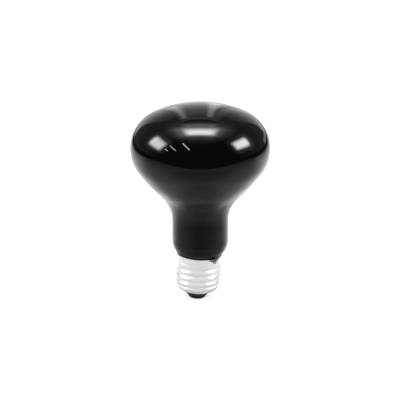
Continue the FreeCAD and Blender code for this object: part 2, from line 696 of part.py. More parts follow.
patch_turn = size("patch_angle") - 90
start_high = size("cement_foot") + size("lead_root")
side_low = size("cement_foot") - size("side_lead_dip")
side_wire = lead(
    "side_lead",
    [
        (size("side_lead_start"), start_high, "Sizes.side_lead_start", "Sizes.cement_foot + Sizes.lead_root"),
        (size("side_lead_start"), side_low, "Sizes.side_lead_start", "Sizes.cement_foot - Sizes.side_lead_dip"),
        (size("side_lead_reach"), side_low, "Sizes.side_lead_reach", "Sizes.cement_foot - Sizes.side_lead_dip"),
        (size("side_lead_reach"), skirt_foot, "Sizes.side_lead_reach", "Sizes.skirt_foot"),
        (
            size("side_lead_top"),
            cap_top + size("side_lead_end"),
            "Sizes.side_lead_top",
            "Sizes.cap_length + Sizes.side_lead_end",
        ),
    ],
    "side_lead_diameter",
    patch_turn,
)
centre_low = size("cement_foot") - size("centre_lead_dip")
gather = glass_top + size("centre_lead_gather")
centre_wire = lead(
    "centre_lead",
    [
        (size("centre_lead_start"), start_high, "Sizes.centre_lead_start", "Sizes.cement_foot + Sizes.lead_root"),
        (
            size("centre_lead_start"),
            centre_low,
            "Sizes.centre_lead_start",
            "Sizes.cement_foot - Sizes.centre_lead_dip",
        ),
        (0.0, gather, "0", "Sizes.insulator_top + Sizes.centre_lead_gather"),
        (0.0, plug_top, "0", "Sizes.contact_wall + Sizes.solder_rise"),
    ],
    "lead_diameter",
    patch_turn + 180,
)
centre_lead = cut(centre_wire, glass, "centre_lead")
cement_ring = cut(cement, glass, "cement_ring")
basing_cement = cut(cement_ring, side_wire, "basing_cement")

# Side solder: a flattened drop on the rim, less the cap and the glass. The side lead ends on its underside
drop = doc.addObject("Part::Ellipsoid", "solder_drop")
drop.setExpression("Radius1", "Sizes.patch_height / 2")
drop.setExpression("Radius2", "Sizes.patch_proud + Sizes.patch_sink")
drop.setExpression("Radius3", "Sizes.patch_width / 2")
drop.Placement = cap_place.multiply(
    FreeCAD.Placement(FreeCAD.Vector(0, 0, 0), FreeCAD.Rotation(FreeCAD.Vector(0, 0, 1), patch_turn))
).multiply(
    FreeCAD.Placement(
        FreeCAD.Vector(
            size("rim_reach") - size("patch_sink"),
            0,
            cap_top + size("patch_rise") - size("patch_height") / 2,
        ),
        FreeCAD.Rotation(),
    )
)
core = doc.addObject("PartDesign::Body", "cap_core")
core_outline = Outline(core, "core_outline")
outer_runs(core_outline)
core_outline.line((size("rim_reach"), cap_top), (0.0, cap_top))
core_outline.line((0.0, cap_top), (0.0, mouth_low))
core_outline.line((0.0, mouth_low), (mouth, mouth_low))
core_outline.join()
bind_outer(core_outline)
core_outline.point(5, 0, "0", "Sizes.cap_length")
core_outline.point(6, 0, "0", "Sizes.mouth_height")
turned(core, core_outline.sketch, "core_turned")
stand_in_cap(core)
doc.recompute()
drop_outside = cut(drop, core, "drop_outside")
side_solder = cut(drop_outside, glass, "side_solder")
bare_lead = cut(side_wire, glass, "bare_lead")
side_lead = cut(bare_lead, drop_outside, "side_lead")
doc.recompute()

# Every object must be up to date, every sketch fully constrained and every piece one valid solid
for item in doc.Objects:
    if "Invalid" in item.State or "Error" in item.State:
        raise RuntimeError("%s did not build: %s" % (item.Label, item.State))
    if item.TypeId == "Sketcher::SketchObject" and not item.FullyConstrained:
        raise RuntimeError("%s is not fully constrained" % item.Label)
pieces = [
    glass,
    shell,
    basing_cement,
    insulator,
    plate,
    solder,
    side_solder,
    centre_lead,
    side_lead,
]
for piece in pieces:
    shape = piece.Shape
    if shape.isNull() or not shape.isValid() or len(shape.Solids) != 1:
        raise RuntimeError("%s is not one valid solid: %d" % (piece.Label, len(shape.Solids)))
os.makedirs("parts", exist_ok=True)
for piece in pieces:
    piece.Shape.exportStep("parts/%s.step" % piece.Label)
    print("%-16s %10.2f mm3" % (piece.Label, piece.Shape.Volume))
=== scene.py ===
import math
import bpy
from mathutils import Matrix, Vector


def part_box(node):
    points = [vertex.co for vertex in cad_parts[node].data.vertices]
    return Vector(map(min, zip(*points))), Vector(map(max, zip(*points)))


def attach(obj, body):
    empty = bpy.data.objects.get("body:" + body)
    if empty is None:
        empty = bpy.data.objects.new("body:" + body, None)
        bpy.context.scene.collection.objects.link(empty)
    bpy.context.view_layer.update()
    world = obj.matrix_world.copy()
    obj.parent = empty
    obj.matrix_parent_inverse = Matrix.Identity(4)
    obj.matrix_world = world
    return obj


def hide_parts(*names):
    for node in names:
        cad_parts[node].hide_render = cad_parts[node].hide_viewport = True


bl_info = {
    "name": "UV Black Light Bulb",
    "version": (1, 0, 0),
    "blender": (4, 5, 0),
    "location": "View3D > Sidebar > Bulb",
    "description": "Polished black glass, satin screw cap and white table around the packed black light bulb",
    "category": "Object",
}

import bpy
from mathutils import Matrix, Vector

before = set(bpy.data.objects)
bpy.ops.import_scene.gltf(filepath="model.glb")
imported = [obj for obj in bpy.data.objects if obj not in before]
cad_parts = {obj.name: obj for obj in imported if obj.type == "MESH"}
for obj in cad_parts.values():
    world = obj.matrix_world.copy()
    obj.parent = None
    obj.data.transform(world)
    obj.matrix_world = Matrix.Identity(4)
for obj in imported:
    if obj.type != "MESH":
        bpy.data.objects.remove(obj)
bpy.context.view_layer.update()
glass_low, glass_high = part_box("glass_bulb")

MM = 0.001
# Points of a turned outline nearer than this are one point
MERGE_GAP = 0.004 * MM

WHITE = (1.0, 1.0, 1.0, 1.0)
TABLE_WHITE = (0.8, 0.8, 0.8, 1.0)
# Pale haze of the glass, partly a painted sheen over the dark mirror image in the hollow
HAZE_AND_SHEEN = (0.014, 0.014, 0.0145, 1.0)
DUST = (0.09, 0.09, 0.09, 1.0)
RUBBED_METAL = (0.95, 0.95, 0.945, 1.0)
BROWN_FLUX = (0.045, 0.038, 0.03, 1.0)


# Sizes and colours that a user would change


def length(name, text, default):
    return bpy.props.FloatProperty(
        name=name, description=text, default=default, unit="LENGTH", subtype="DISTANCE", precision=5
    )


def colour(name, text, default):
    return bpy.props.FloatVectorProperty(
        name=name, description=text, default=default, size=3, subtype="COLOR", min=0.0, max=1.0
    )


def share(name, text, default, top=1.0):
    return bpy.props.FloatProperty(
        name=name, description=text, default=default, min=0.0, max=top, subtype="FACTOR"
    )


def angle(name, text, degrees):
    return bpy.props.FloatProperty(
        name=name, description=text, default=math.radians(degrees), unit="ROTATION", subtype="ANGLE"
    )


class BulbGlassSizes(bpy.types.PropertyGroup):
    """Outline of the glass, as the CAD part has it"""

    diameter: length("Diameter", "Widest diameter of the glass", round(glass_high.x - glass_low.x, 5))
    crown_top: length("Crown top", "Height of the crown above the table", round(glass_high.z, 5))
    crown_radius: length("Crown radius", "Radius of the domed crown", 66.5 * MM)
    shoulder_radius: length("Shoulder radius", "Radius between the crown and the flank", 22.3 * MM)
    flank_radius: length("Flank radius", "Radius of the bulging flank", 86.5 * MM)
    fillet_radius: length("Fillet radius", "Radius of the hollow between flank and neck", 21.1 * MM)
    neck_diameter: length("Neck diameter", "Diameter of the straight neck", 32.6 * MM)
    neck_end_radius: length("Neck end radius", "Radius of the neck's rounded end", 11.0 * MM)
    widest_rise: length("Widest rise", "Height of the widest place above the rim", 63.05 * MM)
    fillet_rise: length("Fillet rise", "Height of the fillet's centre above the rim", 19.95 * MM)
    neck_end_rise: length("Neck end rise", "Height of the neck end's centre above the rim", 8.299 * MM)
    seal_diameter: length("Seal diameter", "Diameter of the sealed end inside the cap", 20.4 * MM)
    seal_depth: length("Seal depth", "Depth of the sealed end below the rim", 8.5 * MM)
    seal_corner: length("Seal corner", "Radius of the sealed end's corner", 2.0 * MM)
    tip_diameter: length("Tip diameter", "Diameter of the exhaust tip", 4.4 * MM)
    tip_length: length("Tip length", "Length of the exhaust tip", 5.0 * MM)
    segments: bpy.props.IntProperty(
        name="Segments", description="Steps round the axis", default=192, min=24, max=360
    )


class BulbCapSizes(bpy.types.PropertyGroup):
    """Place and lean of the cap, and the sizes that its finish and its solder follow"""

    lean: angle("Lean", "Lean of the cap, with its foot to the left", 3.13)
    foot_shift: length("Foot shift", "Shift of the cap's foot along X", -1.99842 * MM)
    foot_rise: length("Foot rise", "Rise of the cap's own base level", 0.245707 * MM)
    height: length("Height", "Contact to rim, along the cap", 27.0 * MM)
    rim_reach: length("Rim reach", "Radius of the turned-out rim", 13.35 * MM)
    skirt_reach: length("Skirt reach", "Radius of the plain skirt", 12.95 * MM)
    skirt_height: length("Skirt height", "Height of the plain skirt", 2.9 * MM)
    crest_reach: length("Crest reach", "Radius over the thread crests", 13.1 * MM)
    thread_depth: length("Thread depth", "Depth of the groove", 1.0 * MM)
    rim_level: length("Rim level", "Height of the rim's centre above the table", 27.191 * MM)


class BulbFinish(bpy.types.PropertyGroup):
    """Colours and gloss of the finishes"""

    glass_colour: colour("Glass", "Jet black of the bulb", (0.0004, 0.0009, 0.0007))
    glass_gloss: share("Glass roughness", "Roughness of the polished crown", 0.03)
    cap_colour: colour("Cap", "Satin silver of the shell", (0.955, 0.955, 0.95))
    cap_gloss: share("Cap roughness", "Roughness of the shell", 0.26)
    insulator_colour: colour("Insulator", "Black glass of the foot", (0.006, 0.006, 0.006))
    # The contact's near-black colour is darkened brass with painted shade of the shadowed foot
    contact_colour: colour("Contact", "Darkened brass of the centre contact", (0.03, 0.028, 0.024))
    solder_colour: colour("Solder", "Grey of the solder", (0.19, 0.19, 0.195))
    lead_colour: colour("Lead wire", "Drawn lead wire", (0.55, 0.42, 0.3))
    cement_colour: colour("Cement", "Basing cement", (0.5, 0.47, 0.41))


class BulbStudio(bpy.types.PropertyGroup):
    """Camera and lamps of the picture"""

    camera_distance: length("Camera distance", "Camera to the middle of the bulb", 0.6635)
    camera_elevation: angle("Camera elevation", "Height angle of the camera", 17.0)
    aim_height: length("Aim height", "Height that the camera looks at", 0.05949)
    focal: bpy.props.FloatProperty(
        name="Focal length", description="Lens, in millimetres", default=103.54, min=10.0, max=300.0
    )
    fill_level: share("Fill", "Light from all round", 0.6, 2.0)
    top_level: share("Top lamp", "Light of the overhead lamp on the table", 0.2, 2.0)
    side_level: share("Side lamps", "Light of each side lamp at the bulb", 0.2, 2.0)
    front_level: share("Front lamp", "Light of the lamp above the camera", 0.21, 2.0)


# Node maths written as expressions


class Socket:
    """One value in a node tree, with arithmetic that adds Math nodes"""

    def __init__(self, web, end):
        self.web = web
        self.end = end

    def __add__(self, other):
        return self.web.math("ADD", self, other)

    __radd__ = __add__

    def __sub__(self, other):
        return self.web.math("SUBTRACT", self, other)

    def __rsub__(self, other):
        return self.web.math("SUBTRACT", other, self)

    def __mul__(self, other):
        return self.web.math("MULTIPLY", self, other)

    __rmul__ = __mul__

    def __truediv__(self, other):
        return self.web.math("DIVIDE", self, other)

    def __rtruediv__(self, other):
        return self.web.math("DIVIDE", other, self)

    def __pow__(self, other):
        return self.web.math("POWER", self, other)

    def __rpow__(self, other):
        return self.web.math("POWER", other, self)

    def __abs__(self):
        return self.web.math("ABSOLUTE", self)

    def __gt__(self, other):
        return self.web.math("GREATER_THAN", self, other)

    def at_least(self, other):
        return self.web.math("MAXIMUM", self, other)

    def at_most(self, other):
        return self.web.math("MINIMUM", self, other)

    def ramp(self, start, end, low=0.0, high=1.0):
        """Goes smoothly from low at start to high at end"""
        return self.web.node(
            "ShaderNodeMapRange",
            {"interpolation_type": "SMOOTHSTEP", "clamp": True},
            {"Value": self, "From Min": start, "From Max": end, "To Min": low, "To Max": high},
        )

    def inside(self, edge, soft):
        """1 within edge, 0 beyond it, with a soft change between"""
        return self.ramp(edge + soft, edge - soft)

    def dot(self, way):
        settings = {"operation": "DOT_PRODUCT"}
        return self.web.node("ShaderNodeVectorMath", settings, {0: self, 1: tuple(way)}, "Value")

    def parts(self):
        return [self.web.node("ShaderNodeSeparateXYZ", {}, {"Vector": self}, axis) for axis in "XYZ"]


class Web:
    """A node tree that is filled from nothing, and laid out in rows"""

    columns = 12
    column_width = 220.0
    row_height = 260.0

    def __init__(self, tree):
        self.tree = tree
        self.tree.nodes.clear()
        self.count = 0

    def node(self, kind, settings, sockets, out=0):
        """Adds a node, sets it up, and gives its sockets their values or links"""
        made = self.tree.nodes.new(kind)
        row, column = divmod(self.count, self.columns)
        made.location = (self.column_width * column, -self.row_height * row)
        self.count += 1
        for key, value in settings.items():
            setattr(made, key, value)
        for key, value in sockets.items():
            if isinstance(value, Socket):
                self.tree.links.new(value.end, made.inputs[key])
            else:
                made.inputs[key].default_value = value
        return Socket(self, made.outputs[out]) if len(made.outputs) else None

    def math(self, operation, *values):
        return self.node("ShaderNodeMath", {"operation": operation}, dict(enumerate(values)))

    def object_place(self):
        return self.node("ShaderNodeTexCoord", {}, {}, "Object")

    def vector(self, x, y, z):
        return self.node("ShaderNodeCombineXYZ", {}, {"X": x, "Y": y, "Z": z})

    def reach(self, x, y):
        """The distance from the Z axis"""
        flat = self.vector(x, y, 0.0)
        return self.node("ShaderNodeVectorMath", {"operation": "LENGTH"}, {0: flat}, "Value")

    def noise(self, place, scale, detail=3.0, rough=0.5):
        """Cloudy noise from 0 to 1, with about as many clouds to the metre as its scale says"""
        sockets = {"Vector": place, "Scale": scale, "Detail": detail, "Roughness": rough}
        return self.node("ShaderNodeTexNoise", {}, sockets, "Fac")

    def cells(self, place, scale):
        """The distance to the middle of the nearest cell"""
        sockets = {"Vector": place, "Scale": scale, "Randomness": 1.0}
        return self.node("ShaderNodeTexVoronoi", {"feature": "F1"}, sockets, "Distance")

    def blend(self, amount, a, b):
        """Colour a where amount is 0 and b where it is 1"""
        return self.node("ShaderNodeMix", {"data_type": "RGBA"}, {0: amount, 6: a, 7: b}, 2)

    def bump(self, height, distance, strength, under=None):
        """A normal that follows a height, laid over the bump that is under it"""
        sockets ={"Height": height, "Distance": distance, "Strength": strength}
        if under is not None:
            sockets["Normal"] = under
        return self.node("ShaderNodeBump", {}, sockets)

    def ray(self, kind):
        """1 on rays of a kind, 0 on all others"""
        return self.node("ShaderNodeLightPath", {}, {}, "Is " + kind + " Ray")

    def diffuse(self, tone):
        return self.node("ShaderNodeBsdfDiffuse", {}, {"Color": tone})

    def emission(self, strength):
        return self.node("ShaderNodeEmission", {}, {"Color": WHITE, "Strength": strength})

    def background(self, strength):
        return self.node("ShaderNodeBackground", {}, {"Color": WHITE, "Strength": strength})

    def join(self, a, b):
        """Both shaders at once"""
        return self.node("ShaderNodeAddShader", {}, {0: a, 1: b})

    def choose(self, amount, a, b):
        """Shader a where amount is 0 and b where it is 1"""
        return self.node("ShaderNodeMixShader", {}, {0: amount, 1: a, 2: b})


def ellipse(x, y, middle, half):
    """Grows from 0 at the middle to 1 on an ellipse with these half widths"""
    return ((x - middle[0]) / half[0]) ** 2.0 + ((y - middle[1]) / half[1]) ** 2.0


def rgba(tone, gain=1.0):
    return (tone[0] * gain, tone[1] * gain, tone[2] * gain, 1.0)


def material(name):
    """A new material, the web of its nodes, and the colours and gloss that a user sets"""
    made = bpy.data.materials.new(name)
    made.use_nodes = True
    return made, Web(made.node_tree), bpy.context.scene.bulb_finish


def surface(web, **sockets):
    named = {key.replace("_", " "): value for key, value in sockets.items()}
    shader = web.node("ShaderNodeBsdfPrincipled", {}, named)
    web.node("ShaderNodeOutputMaterial", {}, {"Surface": shader})


def cap_space(web):
    """Object coordinates turned upright on the leaning cap, in metres from its foot"""
    cap = bpy.context.scene.bulb_cap
    return web.node(
        "ShaderNodeMapping",
        {"vector_type": "TEXTURE"},
        {
            "Vector": web.object_place(),
            "Location": (cap.foot_shift, 0.0, cap.foot_rise),
            "Rotation": (0.0, cap.lean, 0.0),
        },
    )


# Finishes


def black_glass():
    """Blown black glass: a polished crown, a slightly duller lower half, a little dust, and a painted shadow
    line where it goes into the rim
    """
    made, web, look = material("black_glass")
    cap = bpy.context.scene.bulb_cap
    place = web.object_place()
    z = place.parts()[2]
    lower = z.ramp(82.0 * MM, 58.0 * MM)
    neck = z.ramp(60.0 * MM, 47.0 * MM)
    hollow = abs(z - 62.0 * MM).inside(5.0 * MM, 6.0 * MM)
    # Painted shadow: a thin black line where the glass goes into the rim, broader at the left, stands in for
    # the shadow in the gap
    aside, _, above = cap_space(web).parts()
    above = above - aside.ramp(-4.0 * MM, -11.0 * MM) * 0.7 * MM
    gap_shadow = above.ramp(cap.height + 1.0 * MM, cap.height + 0.7 * MM)
    # Faintly clouded on the lower half, hazy and paler above the hollow, with dust in patches. The pale haze
    # is partly a painted sheen that lifts the dark mirror image in the hollow
    cloud = web.noise(place, 55.0, 4.0, 0.6)
    mottle = cloud.ramp(0.35, 0.75) * (lower - neck * 0.8)
    haze_and_sheen = abs(z - 66.0 * MM).inside(3.0 * MM, 9.0 * MM) * cloud.ramp(0.3, 0.62)
    specks = web.cells(place, 260.0).ramp(0.075, 0.035)
    dust = specks * web.noise(place, 90.0, 2.0).ramp(0.58, 0.7)
    base = web.blend(mottle, rgba(look.glass_colour), rgba(look.glass_colour, 4.0))
    base = web.blend(haze_and_sheen, base, HAZE_AND_SHEEN)
    base = web.blend(dust * 0.5, base, DUST)
    satin = lower * 0.11 + hollow * 0.25 + neck * 0.13 + gap_shadow * 0.6
    rough = look.glass_gloss + satin + cloud.ramp(0.45, 0.8) * 0.02 + dust * 0.2
    # A slow wave all over, a ripple in the hollow, and a fine grain on the lower half
    wave = web.bump(web.noise(place, 22.0, 1.0, 0.3), 0.4 * MM, 0.12)
    ripple = web.bump((web.noise(place, 150.0, 2.0) - 0.5) * hollow, 1.1 * MM, 0.35, wave)
    grain = web.bump(web.noise(place, 420.0, 2.0) * lower, 0.06 * MM, 0.03, ripple)
    # A black metal mirrors only at its edges, so its share takes the mirror images off the painted shadow
    # line at the rim and makes them weaker on the neck
    dead = (gap_shadow + neck * 0.25).at_most(1.0)
    surface(web, Base_Color=base, Roughness=rough, Metallic=dead, IOR=1.5, Normal=grain)
    return made


def cap_metal():
    """Rolled satin metal: turned lines round the cap, darker and rougher thread valleys, and rubbed crests"""
    made, web, look = material("cap_metal")
    cap = bpy.context.scene.bulb_cap
    place = cap_space(web)
    x, y, z = place.parts()
    reach = web.reach(x, y)
    valley = reach.ramp(cap.crest_reach - 0.25 * MM, cap.crest_reach - cap.thread_depth)
    valley = valley * z.inside(cap.height * 0.86, 1.0 * MM)
    # Stretched round the axis, a noise becomes lines
    along = web.vector(x * 0.06, y * 0.06, z)
    turned = web.noise(along, 1300.0, 3.0, 0.6)
    hairs = web.noise(along, 5200.0, 2.0)
    patchy = web.noise(place, 110.0, 3.0, 0.55)
    scuff = web.noise(web.vector(x, y, z * 9.0), 420.0, 2.0).ramp(0.6, 0.72)
    rubbed = reach.ramp(cap.crest_reach - 0.12 * MM, cap.crest_reach) * scuff
    # The colour gets darker in the thread valleys, in patches and along the turned lines
    darkening = valley * 0.1 + patchy.ramp(0.5, 0.8) * 0.1
    darkening = darkening + turned.ramp(0.45, 0.75) * 0.24 + hairs.ramp(0.45, 0.7) * 0.08
    base = web.blend(darkening.at_most(1.0), rgba(look.cap_colour), rgba(look.cap_colour, 0.78))
    base = web.blend(rubbed * 0.5, base, RUBBED_METAL)
    rough = look.cap_gloss + patchy.ramp(0.3, 0.8) * 0.08 + valley * 0.08 - rubbed * 0.1 + turned * 0.08
    lines = web.bump(turned * 0.7 + hairs * 0.3, 0.06 * MM, 0.6)
    dents = web.bump(patchy, 0.12 * MM, 0.12, lines)
    surface(web, Base_Color=base, Roughness=rough, Metallic=0.25, Normal=dents)
    return made


def foot_glass():
    """Pressed black glass of the insulator: glossy, a little wavy, with dull marks of the mould"""
    made, web, look = material("foot_glass")
    cloud = web.noise(cap_space(web), 260.0, 3.0, 0.6)
    base = web.blend(cloud.ramp(0.4, 0.7), rgba(look.insulator_colour), rgba(look.insulator_colour, 2.2))
    rough = 0.16 + cloud.ramp(0.35, 0.75) * 0.2
    surface(web, Base_Color=base, Roughness=rough, IOR=1.52, Normal=web.bump(cloud, 0.08 * MM, 0.3))
    return made


def shade_darkened_brass():
    """Pressed brass contact, near black as darkened brass with painted shade of the shadowed foot, with
    turned rings and paler rubbed spots
    """
    made, web, look = material("shade_darkened_brass")
    place = cap_space(web)
    x, y, z = place.parts()
    rings = web.math("SINE", web.reach(x, y) * 9000.0) * 0.5 + 0.5
    stain = web.noise(place, 420.0, 4.0, 0.6)
    rubbed = stain.ramp(0.55, 0.75) * z.inside(0.15 * MM, 0.1 * MM)
    # Near black: darkened brass with painted shade of the foot
    base = web.blend(stain.ramp(0.35, 0.7), rgba(look.contact_colour), rgba(look.contact_colour, 0.45))
    base = web.blend(rubbed, base, rgba(look.contact_colour, 5.0))
    rough = 0.38 + stain * 0.25
    grain = web.bump(rings * 0.3 + stain, 0.05 * MM, 0.3)
    surface(web, Base_Color=base, Roughness=rough, Metallic=0.9, Normal=grain)
    return made


def grey_solder():
    """Dull tin and lead solder with a frosted skin and brown flux in patches"""
    made, web, look = material("grey_solder")
    place = web.object_place()
    frost = web.noise(place, 1600.0, 3.0, 0.65)
    stain = web.noise(place, 520.0, 3.0, 0.6)
    base = web.blend(frost.ramp(0.35, 0.65), rgba(look.solder_colour, 0.7), rgba(look.solder_colour, 1.25))
    base = web.blend(stain.ramp(0.52, 0.66) * 0.7, base, BROWN_FLUX)
    rough = 0.42 + frost * 0.25
    surface(web, Base_Color=base, Roughness=rough, Metallic=0.75, Normal=web.bump(frost, 0.08 * MM, 0.5))
    return made


def lead_wire():
    """Drawn wire with fine lines along it and a heat-darkened end"""
    made, web, look = material("lead_wire")
    x, y, z = web.object_place().parts()
    lines = web.noise(web.vector(x * 12.0, y * 12.0, z), 900.0, 2.0)
    heat = z.ramp(14.0 * MM, 18.0 * MM)
    base = web.blend(heat * 0.6, rgba(look.lead_colour), rgba(look.lead_colour, 0.35))
    rough = 0.3 + lines * 0.2
    surface(web, Base_Color=base, Roughness=rough, Metallic=1.0, Normal=web.bump(lines, 0.01 * MM, 0.3))
    return made


def basing_cement():
    """Hard powdery cement with fine grains and a few pores"""
    made, web, look = material("basing_cement")
    place = web.object_place()
    grain = web.noise(place, 2400.0, 4.0, 0.7)
    pores = web.cells(place, 900.0).ramp(0.25, 0.12)
    base = web.blend(grain.ramp(0.3, 0.7), rgba(look.cement_colour, 0.82), rgba(look.cement_colour, 1.1))
    base = web.blend(pores * 0.6, base, rgba(look.cement_colour, 0.5))
    surface(web, Base_Color=base, Roughness=0.9, Normal=web.bump(grain - pores, 0.1 * MM, 0.6))
    return made


def mirrored_tone(web, x, y):
    """How bright the glass mirrors each place of the table, with distances in metres"""
    # It ends 25 cm before the bulb and gets darker to both sides
    on_table = ((x / 0.56) ** 4.0 + (y.at_most(0.0) / 0.251) ** 4.0).inside(1.0, 0.12)
    aside = abs(x).ramp(0.08, 0.55, 1.0, 0.36)
    # It lies in the bulb's own shadow near the foot, and is darker in front of it
    foot = ellipse(x, y, (0.0, -0.015), (0.045, 0.06)) ** 0.5
    front = ellipse(x, y, (0.01, -0.13), (0.13, 0.06))
    shaded = foot.ramp(0.35, 1.15, 0.5, 1.0) * front.ramp(0.0, 1.7, 0.57, 1.0)
    # It gets brighter towards the backdrop
    near = y.ramp(-0.26, 0.1, 0.27, 0.74)
    far = y.ramp(-0.02, 0.14, 0.0, 1.02)
    far = far + abs(x).ramp(0.14, 0.03) * y.ramp(0.0, 0.05) * y.ramp(0.16, 0.06) * 0.4
    # Only the hollow above the neck mirrors the place close behind the bulb
    behind = abs(x).inside(0.055, 0.012) * y.ramp(0.01, 0.08) * y.ramp(0.22, 0.12)
    far = far + behind * x.ramp(-0.02, 0.02, 1.7, 0.7)
    grain = web.noise(web.vector(x, y, 0.0), 60.0).ramp(0.2, 0.8, 0.96, 1.0)
    return (near + far) * aside * shaded * on_table * grain + 0.05


def white_table():
    """A table that is white to the camera, toned in the glass, and not there from below"""
    made, web, _ = material("white_table")
    x, y, _ = web.object_place().parts()
    plain = web.diffuse(TABLE_WHITE)
    tone = mirrored_tone(web, x, y)
    matt = tone * 0.5
    mirrored = web.join(web.diffuse(web.vector(matt, matt, matt)), web.emission(tone * 0.45))
    # A glow lifts it to white for the camera, more under the cap and far out
    reach = web.reach(x, y)
    glow = web.emission(reach.ramp(0.2, 0.9, 0.42, 0.6) + reach.ramp(0.06, 0.02) * 0.13)
    bright = web.join(plain, glow)
    others = web.choose(web.ray("Glossy"), plain, mirrored)
    # From below, the camera looks through the table at the foot of the cap
    below = web.node("ShaderNodeNewGeometry", {}, {}, "Backfacing")
    clear = web.node("ShaderNodeBsdfTransparent", {}, {"Color": WHITE})
    bright = web.choose(below, bright, clear)
    shader = web.choose(web.ray("Camera"), others, bright)
    web.node("ShaderNodeOutputMaterial", {}, {"Surface": shader})
    return made


# Modelling helpers


def clear_selection():
    if bpy.context.object is not None and bpy.context.object.mode != "OBJECT":
        bpy.ops.object.mode_set(mode="OBJECT")
    bpy.ops.object.select_all(action="DESELECT")


def take(piece):
    clear_selection()
    piece.select_set(True)
    bpy.context.view_layer.objects.active = piece


def apply_modifier(piece, kind, **settings):
    """Adds a modifier of a kind, sets it up and applies it"""
    take(piece)
    made = piece.modifiers.new(kind, kind)
    for key, value in settings.items():
        setattr(made, key, value)
    bpy.ops.object.modifier_apply(modifier=made.name)


def coat(piece, look):
    piece.data.materials.clear()
    piece.data.materials.append(look)


def finish_piece(piece, look):
    coat(piece, look)
    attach(piece, "root")


class Turner:
    """Draws half an outline with one vertex in the X-Z plane, then spins it round the Z axis"""

    def __init__(self, name, x, z):
        clear_selection()
        bpy.ops.mesh.primitive_plane_add(size=MM, location=(x, 0.0, z))
        self.piece = bpy.context.object
        self.piece.name = name
        self.piece.data.name = name
        bpy.ops.object.transform_apply(location=True, rotation=True, scale=True)
        bpy.ops.object.mode_set(mode="EDIT")
        bpy.ops.mesh.select_all(action="SELECT")
        bpy.ops.mesh.merge(type="CENTER")
        self.spot = (x, z)

    def line(self, x, z, steps=1):
        """Goes straight to a place"""
        step = ((x - self.spot[0]) / steps, 0.0, (z - self.spot[1]) / steps)
        for _ in range(steps):
            bpy.ops.mesh.extrude_region_move(TRANSFORM_OT_translate={"value": step})
        self.spot = (x, z)

    def arc(self, centre, x, z, steps):
        """Goes round a centre to a place on the same circle, the shorter way"""
        first = math.atan2(self.spot[1] - centre[1], self.spot[0] - centre[0])
        last = math.atan2(z - centre[1], x - centre[0])
        turn = (last - first + math.pi) % (2.0 * math.pi) - math.pi
        bpy.ops.mesh.spin(
            steps=steps, angle=turn, center=(centre[0], 0.0, centre[1]), axis=(0.0, 1.0, 0.0), dupli=False
        )
        self.spot = (x, z)

    def close(self, segments):
        """Spins the outline all the way round and gives back the closed piece"""
        bpy.ops.mesh.select_all(action="SELECT")
        bpy.ops.mesh.spin(
            steps=segments, angle=2.0 * math.pi, center=(0.0, 0.0, 0.0), axis=(0.0, 0.0, 1.0), dupli=False
        )
        bpy.ops.mesh.select_all(action="SELECT")
        bpy.ops.mesh.remove_doubles(threshold=MERGE_GAP)
        bpy.ops.mesh.normals_make_consistent(inside=False)
        bpy.ops.object.mode_set(mode="OBJECT")
        return self.piece


def between(a, b, far):
    """The point on the line from a through b, at a distance from a"""
    gap = math.dist(a, b)
    return (a[0] + (b[0] - a[0]) * far / gap, a[1] + (b[1] - a[1]) * far / gap)


def crossing(a, reach_a, b, reach_b):
    """Where the circles round a and b cross, at the right of the way from a to b"""
    gap = math.dist(a, b)
    along = (reach_a ** 2 - reach_b ** 2 + gap ** 2) / (2.0 * gap)
    aside = math.sqrt(reach_a ** 2 - along ** 2)
    step = ((b[0] - a[0]) / gap, (b[1] - a[1]) / gap)
    return (a[0] + along * step[0] + aside * step[1], a[1] + along * step[1] - aside * step[0])


def heading(azimuth, elevation):
    """The direction at an azimuth, 0 towards the camera and positive to the right, and an elevation"""
    turn = math.radians(azimuth)
    rise = math.radians(elevation)
    return Vector((math.sin(turn) * math.cos(rise), -math.cos(turn) * math.cos(rise), math.sin(rise)))


# The pieces


